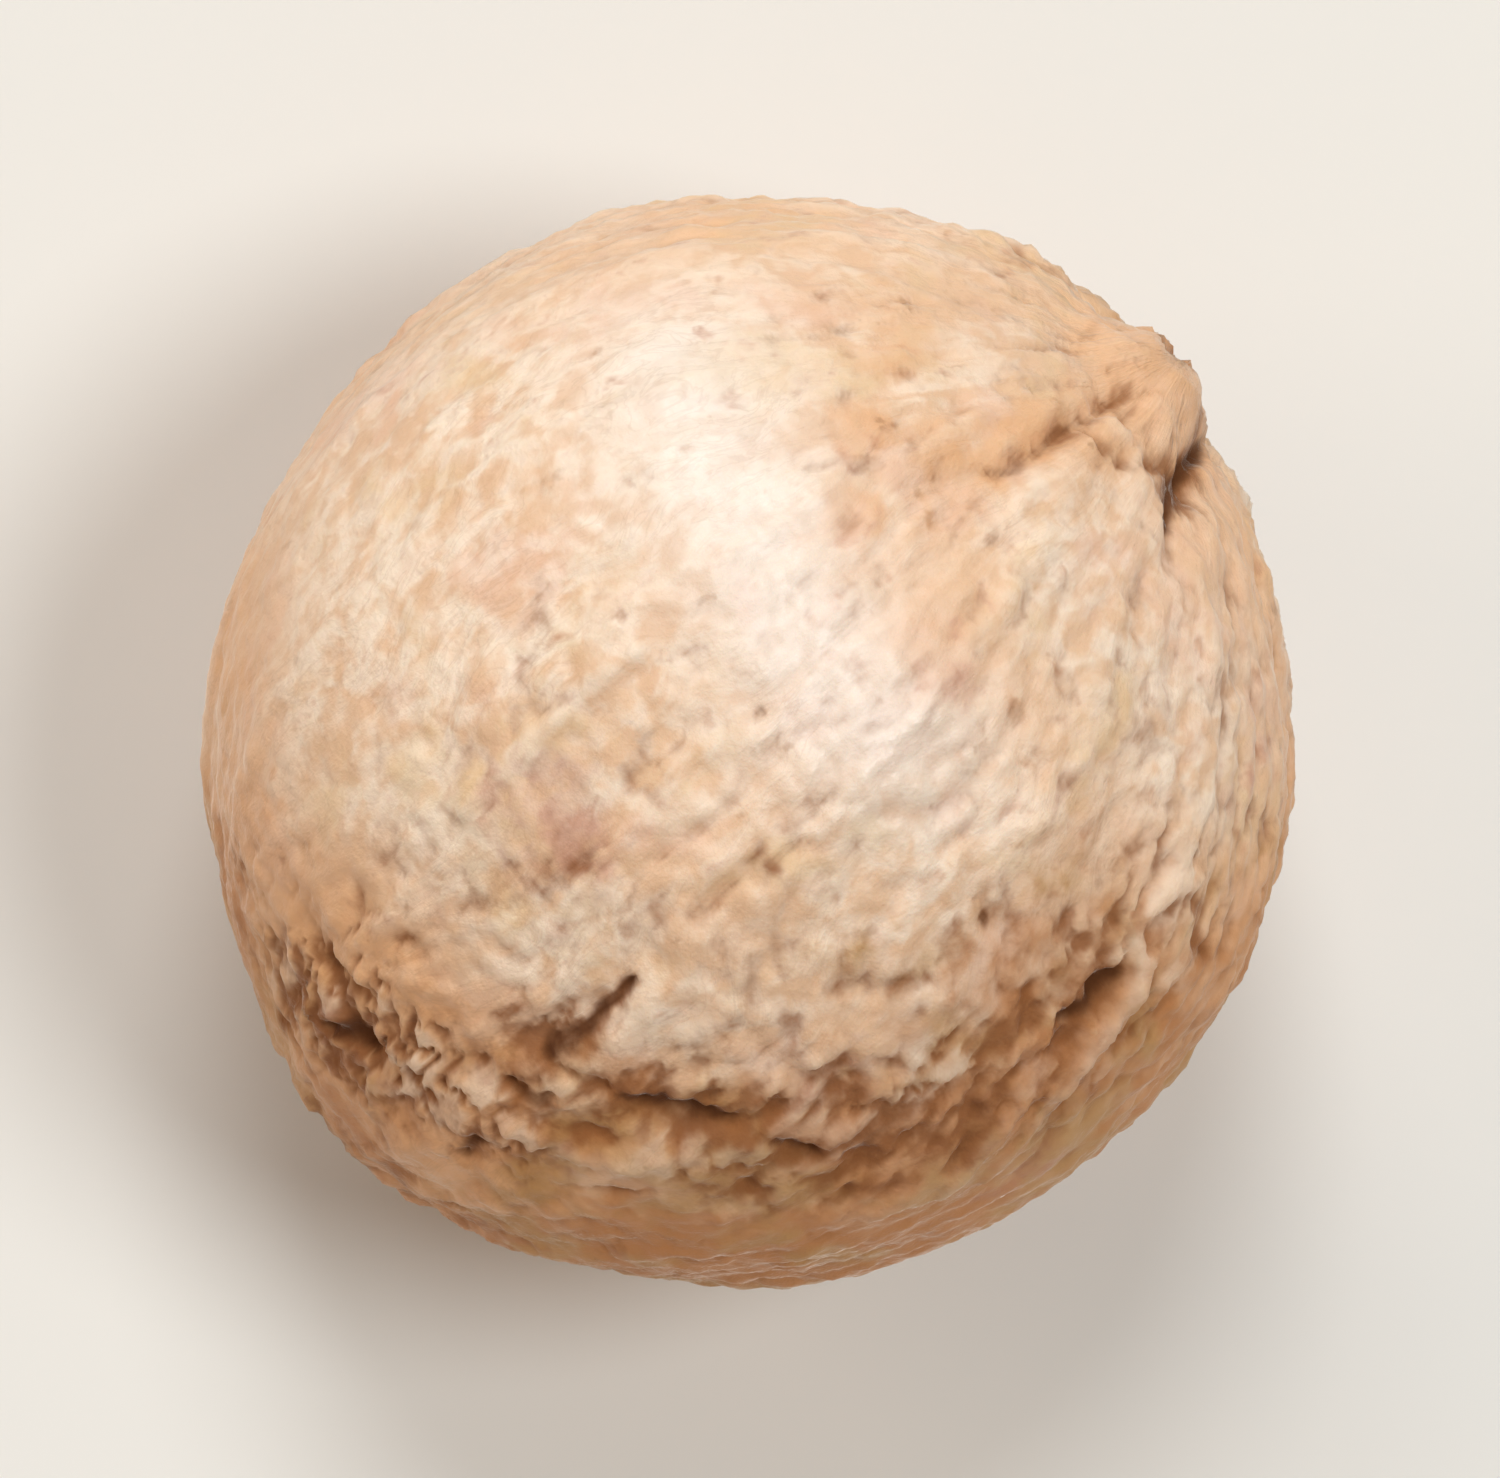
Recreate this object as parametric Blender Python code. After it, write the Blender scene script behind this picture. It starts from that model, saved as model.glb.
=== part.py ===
# A white peppercorn, lying on a small flat spot on its side. Metres, +Z up.
#
# The corn is a ball with a blunt nub at its tip end and a sunken scar at its stem end. Low ribs run
# from the one to the other like lines of longitude. Every point of the skin is given by two angles:
# polar, 0 at the tip and 180 at the scar, and around, the turn about the line from scar to tip, 0 on
# the side that faces up. The tip points along +X, a little above level.

import bmesh
import bpy
from math import atan2, cos, exp, hypot, pi, radians, sin, sqrt
from mathutils import Matrix, Vector

MM = 0.001

# The ball, and how the skin is divided
BODY_DIAMETER = 5.0 * MM
SEGMENTS = 114
RINGS = 50
RING_CROWDING = 0.2       # rings stand closer at both ends, where the small shapes are

# How the corn lies
TIP_RISE = 14.5           # degrees from level to the tip
FOOT_DIAMETER = 1.3 * MM  # the flat spot it rests on

# The tip: a blunt nub on a low cone
NUB_HEIGHT = 0.125 * MM
NUB_TOP = 2.5             # degrees, where its flat top ends
NUB_FOOT = 9.5            # degrees, where it meets the cone
NUB_MOAT_DEPTH = 0.03 * MM
NUB_MOAT = 12.0
NUB_MOAT_WIDTH = 2.6
CONE_HEIGHT = 0.08 * MM
CONE_SPREAD = 17.0

# The stem end: swollen, with a round sunken scar, its lip, and a stub in the middle
BASE_HEIGHT = 0.12 * MM
BASE_SPREAD = 24.0
SCAR_DEPTH = 0.15 * MM
SCAR_FLOOR = 6.5
SCAR_EDGE = 12.0
SCAR_LIP_HEIGHT = 0.035 * MM
SCAR_LIP = 14.0
SCAR_LIP_WIDTH = 2.6
STUB_HEIGHT = 0.07 * MM
STUB_TOP = 1.5
STUB_FOOT = 5.0

# Ribs, as (around, height in mm) at the middle of the corn
RIBS = ((-42, 0.016), (-16, 0.026), (11, 0.034), (31, 0.022), (55, 0.036), (82, 0.020), (108, 0.032),
        (131, 0.018), (160, 0.034), (186, 0.022), (209, 0.034), (237, 0.020), (264, 0.032), (291, 0.024))
RIB_WIDTH = 4.6           # degrees around
RIB_SWELLING = 0.35       # how much a rib's height rises and falls along it
RIB_WANDER = 2.5          # degrees around that a rib strays from its line
RIB_TWIST = -14.0         # degrees around that the ribs turn as they reach the nub
RIB_TWIST_SPREAD = 26.0
RIB_TIP = (9.0, 30.0)     # polar angles over which a rib rises from the nub
RIB_STEM = (166.0, 140.0)

# Grooves, as (around at start, polar at start, around at end, polar at end, depth, width in mm)
GROOVES = ((-14, 11, -8, 40, 0.050, 0.11),     # beside the nub, on the upper side
           (62, 13, 36, 28, 0.070, 0.10),      # the deep one beside the nub
           (150, 11, 166, 34, 0.050, 0.11),
           (236, 10, 224, 31, 0.060, 0.11),
           (10, 99, 9, 120, 0.045, 0.13),      # at the foot of the long upper rib
           (57, 62, 54, 78, 0.040, 0.13),
           (196, 70, 201, 104, 0.040, 0.14),
           (-22, 132, 12, 140, 0.050, 0.13),   # a fold across the ribs, near the scar
           (28, 112, 5, 128, 0.045, 0.13),
           (150, 128, 118, 138, 0.045, 0.13))

# Folds that run into the scar, as (around, polar where each ends, depth in mm)
SCAR_FOLDS = ((4, 150, 0.018), (38, 150, 0.020), (71, 136, 0.035), (103, 143, 0.040), (143, 138, 0.055),
              (178, 147, 0.045), (215, 134, 0.060), (252, 144, 0.040), (289, 140, 0.035), (327, 150, 0.020))
SCAR_FOLD_WIDTH = 0.11 * MM
SCAR_FOLD_START = 167

# Broad dents and swells, as (around, polar, radius in degrees, height in mm)
SWELLS = ((32, 158, 20, 0.065), (242, 19, 15, 0.085),    # beside the scar and beside the nub
          (20, 64, 34, -0.020), (84, 98, 30, -0.030), (-38, 100, 36, 0.030), (150, 70, 34, 0.030),
          (236, 118, 28, -0.035), (262, 84, 32, -0.025), (118, 44, 26, -0.025), (300, 56, 30, 0.025),
          (44, 118, 15, 0.028), (72, 60, 14, 0.022), (-8, 44, 13, 0.018), (128, 104, 15, 0.030),
          (176, 84, 14, -0.024), (222, 62, 15, 0.028), (246, 112, 16, 0.030), (284, 96, 13, -0.022),
          (318, 124, 15, 0.026), (98, 134, 13, 0.024), (190, 142, 13, 0.026), (272, 138, 13, 0.024))

SKIN_COLOUR = (0.74, 0.54, 0.37, 1.0)
SKIN_ROUGHNESS = 0.62

body_radius = BODY_DIAMETER / 2


def smooth_step(start, end, value):
    """0 at start, 1 at end, and a smooth rise between them; start may be above end."""
    t = min(max((value - start) / (end - start), 0.0), 1.0)
    return t * t * (3 - 2 * t)


def bell(distance, width):
    return exp(-(distance / width) ** 2)


def turn_between(a, b):
    """The turn in degrees from b to a, from -180 to 180."""
    return (a - b + 180) % 360 - 180


def direction(around, polar):
    """The unit vector at two angles in degrees, with +Z through the tip."""
    ring = sin(radians(polar))
    return Vector((ring * cos(radians(around)), ring * sin(radians(around)), cos(radians(polar))))


def distance_to_arc(point, start, end):
    """The distance from a unit vector to the straight line between two others, as a share of it."""
    along = end - start
    t = min(max((point - start).dot(along) / along.length_squared, 0.0), 1.0)
    return (point - start - along * t).length, t


def tip_height(polar):
    nub = NUB_HEIGHT * smooth_step(NUB_FOOT, NUB_TOP, polar)
    moat = NUB_MOAT_DEPTH * bell(polar - NUB_MOAT, NUB_MOAT_WIDTH)
    return nub - moat + CONE_HEIGHT * bell(polar, CONE_SPREAD)


def stem_height(polar):
    from_scar = 180 - polar
    base = BASE_HEIGHT * bell(from_scar, BASE_SPREAD)
    scar = SCAR_DEPTH * smooth_step(SCAR_EDGE, SCAR_FLOOR, from_scar)
    lip = SCAR_LIP_HEIGHT * bell(from_scar - SCAR_LIP, SCAR_LIP_WIDTH)
    stub = STUB_HEIGHT * smooth_step(STUB_FOOT, STUB_TOP, from_scar)
    return base + lip + stub - scar


def rib_height(around, polar):
    twist = RIB_TWIST * bell(polar, RIB_TWIST_SPREAD)
    fade = smooth_step(*RIB_TIP, polar) * smooth_step(*RIB_STEM, polar)
    height = 0.0
    for number, (line, rise) in enumerate(RIBS):
        strays = RIB_WANDER * sin(radians(polar * 2.3 + number * 77))
        swells = 1 + RIB_SWELLING * sin(radians(polar * 4.1 + number * 131))
        height += rise * MM * swells * bell(turn_between(around, line + twist + strays), RIB_WIDTH)
    return height * fade


def groove_depth(around, polar):
    point = direction(around, polar)
    depth = 0.0
    for start_around, start_polar, end_around, end_polar, deep, width in GROOVES:
        start, end = direction(start_around, start_polar), direction(end_around, end_polar)
        away, t = distance_to_arc(point, start, end)
        depth += deep * MM * bell(away * body_radius, width * MM) * (1 - 0.5 * t)
    for fold_around, fold_end, deep in SCAR_FOLDS:
        start, end = direction(fold_around, SCAR_FOLD_START), direction(fold_around, fold_end)
        away, t = distance_to_arc(point, start, end)
        depth += deep * MM * bell(away * body_radius, SCAR_FOLD_WIDTH) * (1 - 0.8 * t)
    return depth


def swell_height(around, polar):
    point = direction(around, polar)
    height = 0.0
    for swell_around, swell_polar, radius, rise in SWELLS:
        apart = (point - direction(swell_around, swell_polar)).length
        height += rise * MM * bell(apart, radians(radius))
    return height


def skin_radius(around, polar):
    return (body_radius + tip_height(polar) + stem_height(polar) + rib_height(around, polar)
            - groove_depth(around, polar) + swell_height(around, polar))


def crowded(polar):
    """Moves evenly spaced rings towards both ends."""
    return polar - RING_CROWDING * sin(2 * polar)


def shape_skin(bm):
    bmesh.ops.create_uvsphere(bm, u_segments=SEGMENTS, v_segments=RINGS, radius=1.0)
    for vert in bm.verts:
        x, y, z = vert.co
        polar = crowded(atan2(hypot(x, y), z))
        around = atan2(y, x)
        vert.co = direction(around * 180 / pi, polar * 180 / pi)
        vert.co *= skin_radius(around * 180 / pi, polar * 180 / pi)


def lay_down(bm):
    """Turns the tip from +Z to its rise above +X, with around 0 on the upper side."""
    tip = Vector((cos(radians(TIP_RISE)), 0, sin(radians(TIP_RISE))))
    upper = Vector((-sin(radians(TIP_RISE)), 0, cos(radians(TIP_RISE))))
    turn = Matrix((upper, tip.cross(upper), tip)).transposed()
    bmesh.ops.rotate(bm, verts=bm.verts, cent=(0, 0, 0), matrix=turn)


def cut_foot(bm):
    """Cuts the flat spot under the corn and closes it with one flat face."""
    height = -sqrt(body_radius ** 2 - (FOOT_DIAMETER / 2) ** 2)
    cut = bmesh.ops.bisect_plane(
        bm, geom=bm.verts[:] + bm.edges[:] + bm.faces[:],
        plane_co=(0, 0, height), plane_no=(0, 0, 1), clear_inner=True)
    rim = [item for item in cut["geom_cut"] if isinstance(item, bmesh.types.BMEdge)]
    bmesh.ops.holes_fill(bm, edges=rim)
    bmesh.ops.recalc_face_normals(bm, faces=bm.faces)


def stand_on_origin(bm):
    """Moves the middle of the corn's box over the origin and its foot onto Z = 0."""
    middle = [(min(v.co[i] for v in bm.verts) + max(v.co[i] for v in bm.verts)) / 2 for i in (0, 1)]
    lowest = min(v.co.z for v in bm.verts)
    bmesh.ops.translate(bm, verts=bm.verts, vec=(-middle[0], -middle[1], -lowest))


def skin_material():
    material = bpy.data.materials.new("pepper_skin")
    material.use_nodes = True
    shader = material.node_tree.nodes["Principled BSDF"]
    shader.inputs["Base Color"].default_value = SKIN_COLOUR
    shader.inputs["Roughness"].default_value = SKIN_ROUGHNESS
    shader.inputs["Metallic"].default_value = 0.0
    material.diffuse_color = SKIN_COLOUR
    return material


def make_peppercorn():
    bm = bmesh.new()
    shape_skin(bm)
    lay_down(bm)
    cut_foot(bm)
    stand_on_origin(bm)
    mesh = bpy.data.meshes.new("peppercorn")
    bm.to_mesh(mesh)
    bm.free()
    mesh.shade_smooth()
    mesh.set_sharp_from_angle(angle=radians(50))
    mesh.materials.append(skin_material())
    corn = bpy.data.objects.new("peppercorn", mesh)
    bpy.context.collection.objects.link(corn)
    return corn


for old in list(bpy.data.objects):
    bpy.data.objects.remove(old)
make_peppercorn()
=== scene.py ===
import math
import random

import bmesh
import bpy
import numpy as np
from mathutils import Matrix, Vector, noise


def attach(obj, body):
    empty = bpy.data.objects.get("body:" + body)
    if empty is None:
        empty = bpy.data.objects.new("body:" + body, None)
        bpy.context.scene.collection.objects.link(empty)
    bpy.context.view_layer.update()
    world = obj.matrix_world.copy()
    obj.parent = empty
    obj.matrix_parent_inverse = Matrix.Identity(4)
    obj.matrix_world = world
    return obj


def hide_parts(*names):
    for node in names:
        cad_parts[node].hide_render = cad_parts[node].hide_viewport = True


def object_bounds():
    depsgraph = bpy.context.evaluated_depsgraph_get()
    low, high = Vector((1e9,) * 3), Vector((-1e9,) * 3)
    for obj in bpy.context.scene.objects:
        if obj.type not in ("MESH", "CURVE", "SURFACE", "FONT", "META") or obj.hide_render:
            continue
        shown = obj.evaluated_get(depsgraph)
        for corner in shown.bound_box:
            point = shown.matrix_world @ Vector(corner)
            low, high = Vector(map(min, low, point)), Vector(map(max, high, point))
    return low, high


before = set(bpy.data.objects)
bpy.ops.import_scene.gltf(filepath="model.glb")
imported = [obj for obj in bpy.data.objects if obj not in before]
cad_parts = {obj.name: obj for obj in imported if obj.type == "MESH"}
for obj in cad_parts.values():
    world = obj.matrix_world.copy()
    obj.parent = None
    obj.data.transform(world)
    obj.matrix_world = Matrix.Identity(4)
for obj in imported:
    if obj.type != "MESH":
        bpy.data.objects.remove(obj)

mm = 0.001
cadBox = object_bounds()

# A point of the skin is given by two angles in degrees: polar, 0 at the tip and 180 at the stem scar,
# and around, the turn about the line between them, 0 on the side that faces up.

corn = {
    "body": 5.0 * mm,
    "tipRise": 14.5,              # degrees from level to the tip
    "foot": 1.3 * mm,             # the flat spot it rests on
    "footRounding": 0.02 * mm,
    "footBelow": -0.2,            # only points lower than this share of the radius are pressed flat
    "cells": 128,                 # quads along a side of each of the six patches
    "uvMargin": 0.004,            # left free along the edges of each patch's square
    "nub": {"height": 0.125 * mm, "top": 2.5, "foot": 9.5, "moatDepth": 0.03 * mm, "moat": 12.0,
            "moatWidth": 2.6, "coneHeight": 0.08 * mm, "coneSpread": 17.0},
    "stem": {"baseHeight": 0.12 * mm, "baseSpread": 24.0, "scarDepth": 0.15 * mm, "scarFloor": 6.5,
             "scarEdge": 12.0, "lipHeight": 0.035 * mm, "lip": 14.0, "lipWidth": 2.6,
             "stubHeight": 0.07 * mm, "stubTop": 1.5, "stubFoot": 5.0},
    # (around, height in mm)
    "ribs": ((-42, 0.016), (-16, 0.026), (11, 0.034), (31, 0.022), (55, 0.036), (82, 0.020), (108, 0.032),
             (131, 0.018), (160, 0.034), (186, 0.022), (209, 0.034), (237, 0.020), (264, 0.032),
             (291, 0.024)),
    "rib": {"width": 4.6, "swelling": 0.35, "wander": 2.5, "twist": -14.0, "twistSpread": 26.0,
            "tip": (9.0, 30.0), "stem": (166.0, 140.0), "wanderTurns": 2.3, "wanderShift": 77,
            "swellTurns": 4.1, "swellShift": 131},
    # (around, polar) at the start, then at the end, and depth and width in mm
    "grooves": ((-14, 11, -8, 40, 0.050, 0.11), (62, 13, 36, 28, 0.070, 0.10),
                (150, 11, 166, 34, 0.050, 0.11), (236, 10, 224, 31, 0.060, 0.11),
                (10, 99, 9, 120, 0.045, 0.13), (57, 62, 54, 78, 0.040, 0.13),
                (196, 70, 201, 104, 0.040, 0.14), (-22, 132, 12, 140, 0.050, 0.13),
                (28, 112, 5, 128, 0.045, 0.13), (150, 128, 118, 138, 0.045, 0.13)),
    "grooveFade": 0.5,            # the share of its depth that a groove has lost at its end
    # (around, polar where it ends, depth in mm)
    "scarFolds": ((4, 150, 0.018), (38, 150, 0.020), (71, 136, 0.035), (103, 143, 0.040),
                  (143, 138, 0.055), (178, 147, 0.045), (215, 134, 0.060), (252, 144, 0.040),
                  (289, 140, 0.035), (327, 150, 0.020)),
    "scarFold": {"width": 0.11 * mm, "start": 167, "fade": 0.8},
    # (around, polar, radius in degrees, height in mm)
    "swells": ((32, 158, 20, 0.065), (242, 19, 15, 0.085), (20, 64, 34, -0.020), (84, 98, 30, -0.030),
               (-38, 100, 36, 0.030), (150, 70, 34, 0.030), (236, 118, 28, -0.035), (262, 84, 32, -0.025),
               (118, 44, 26, -0.025), (300, 56, 30, 0.025), (44, 118, 15, 0.028), (72, 60, 14, 0.022),
               (-8, 44, 13, 0.018), (128, 104, 15, 0.030), (176, 84, 14, -0.024), (222, 62, 15, 0.028),
               (246, 112, 16, 0.030), (284, 96, 13, -0.022), (318, 124, 15, 0.026), (98, 134, 13, 0.024),
               (190, 142, 13, 0.026), (272, 138, 13, 0.024)),
}
bodyRadius = corn["body"] / 2
fractal = {"increment": 0.8, "lacunarity": 2.1, "seedSteps": (17.3, 5.1, 9.7)}


def smoothStep(start, end, value):
    t = np.clip((value - start) / (end - start), 0, 1)
    return t * t * (3 - 2 * t)


def bell(distance, width):
    return np.exp(-(distance / width) ** 2)


def wave(degrees, turns, shift):
    return np.sin(np.radians(degrees * turns + shift))


def weighed(weights, parts):
    # The sum of the named parts, each with its weight
    return sum(weight * parts[name] for name, weight in weights.items())


def turnBetween(a, b):
    return (a - b + 180) % 360 - 180


def heading(around, polar):
    a, p = np.radians(around), np.radians(polar)
    return np.stack([np.sin(p) * np.cos(a), np.sin(p) * np.sin(a), np.cos(p) + 0 * a], axis=-1)


def awayFromLine(skin, start, end):
    along = end - start
    t = np.clip((skin - start) @ along / (along @ along), 0, 1)
    return np.linalg.norm(skin - start - t[:, None] * along, axis=1), t


def awayFromPath(skin, path):
    # The distance in mm from a path of (around, polar) points, and how far along it, from 0 to 1
    nearest, share = np.full(len(skin), np.inf), np.zeros(len(skin))
    for i, (a, b) in enumerate(zip(path, path[1:])):
        away, t = awayFromLine(skin, heading(*a), heading(*b))
        share = np.where(away < nearest, (i + t) / (len(path) - 1), share)
        nearest = np.minimum(away, nearest)
    return nearest * bodyRadius / mm, share


def awayFromSpot(skin, around, polar):
    return np.linalg.norm(skin - heading(around, polar), axis=1) * bodyRadius / mm


def noiseAt(points, scale, seed, octaves):
    shift = Vector([seed * step for step in fractal["seedSteps"]])
    settings = fractal["increment"], fractal["lacunarity"], octaves
    return np.array([noise.fractal(Vector(p) * scale + shift, *settings) for p in points])


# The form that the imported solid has

def baseRadius(skin, around, polar):
    nub, stem, rib = corn["nub"], corn["stem"], corn["rib"]
    radius = bodyRadius + nub["height"] * smoothStep(nub["foot"], nub["top"], polar)
    radius -= nub["moatDepth"] * bell(polar - nub["moat"], nub["moatWidth"])
    radius += nub["coneHeight"] * bell(polar, nub["coneSpread"])
    fromScar = 180 - polar
    radius += stem["baseHeight"] * bell(fromScar, stem["baseSpread"])
    radius -= stem["scarDepth"] * smoothStep(stem["scarEdge"], stem["scarFloor"], fromScar)
    radius += stem["lipHeight"] * bell(fromScar - stem["lip"], stem["lipWidth"])
    radius += stem["stubHeight"] * smoothStep(stem["stubFoot"], stem["stubTop"], fromScar)
    twist = rib["twist"] * bell(polar, rib["twistSpread"])
    fade = smoothStep(*rib["tip"], polar) * smoothStep(*rib["stem"], polar)
    for number, (line, rise) in enumerate(corn["ribs"]):
        strays = rib["wander"] * wave(polar, rib["wanderTurns"], number * rib["wanderShift"])
        swells = 1 + rib["swelling"] * wave(polar, rib["swellTurns"], number * rib["swellShift"])
        radius += rise * mm * swells * fade * bell(turnBetween(around, line + twist + strays), rib["width"])
    for startAround, startPolar, endAround, endPolar, deep, width in corn["grooves"]:
        away, t = awayFromLine(skin, heading(startAround, startPolar), heading(endAround, endPolar))
        radius -= deep * mm * bell(away * bodyRadius, width * mm) * (1 - corn["grooveFade"] * t)
    scarFold = corn["scarFold"]
    for foldAround, foldEnd, deep in corn["scarFolds"]:
        away, t = awayFromLine(skin, heading(foldAround, scarFold["start"]), heading(foldAround, foldEnd))
        radius -= deep * mm * bell(away * bodyRadius, scarFold["width"]) * (1 - scarFold["fade"] * t)
    for swellAround, swellPolar, spread, rise in corn["swells"]:
        apart = np.linalg.norm(skin - heading(swellAround, swellPolar), axis=1)
        radius += rise * mm * bell(apart, math.radians(spread))
    return radius


# The fine relief, which only the looks have. Lengths are in mm, a noise is (scale, seed, octaves), and an
# edge is (where a part starts, where it is full).

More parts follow.
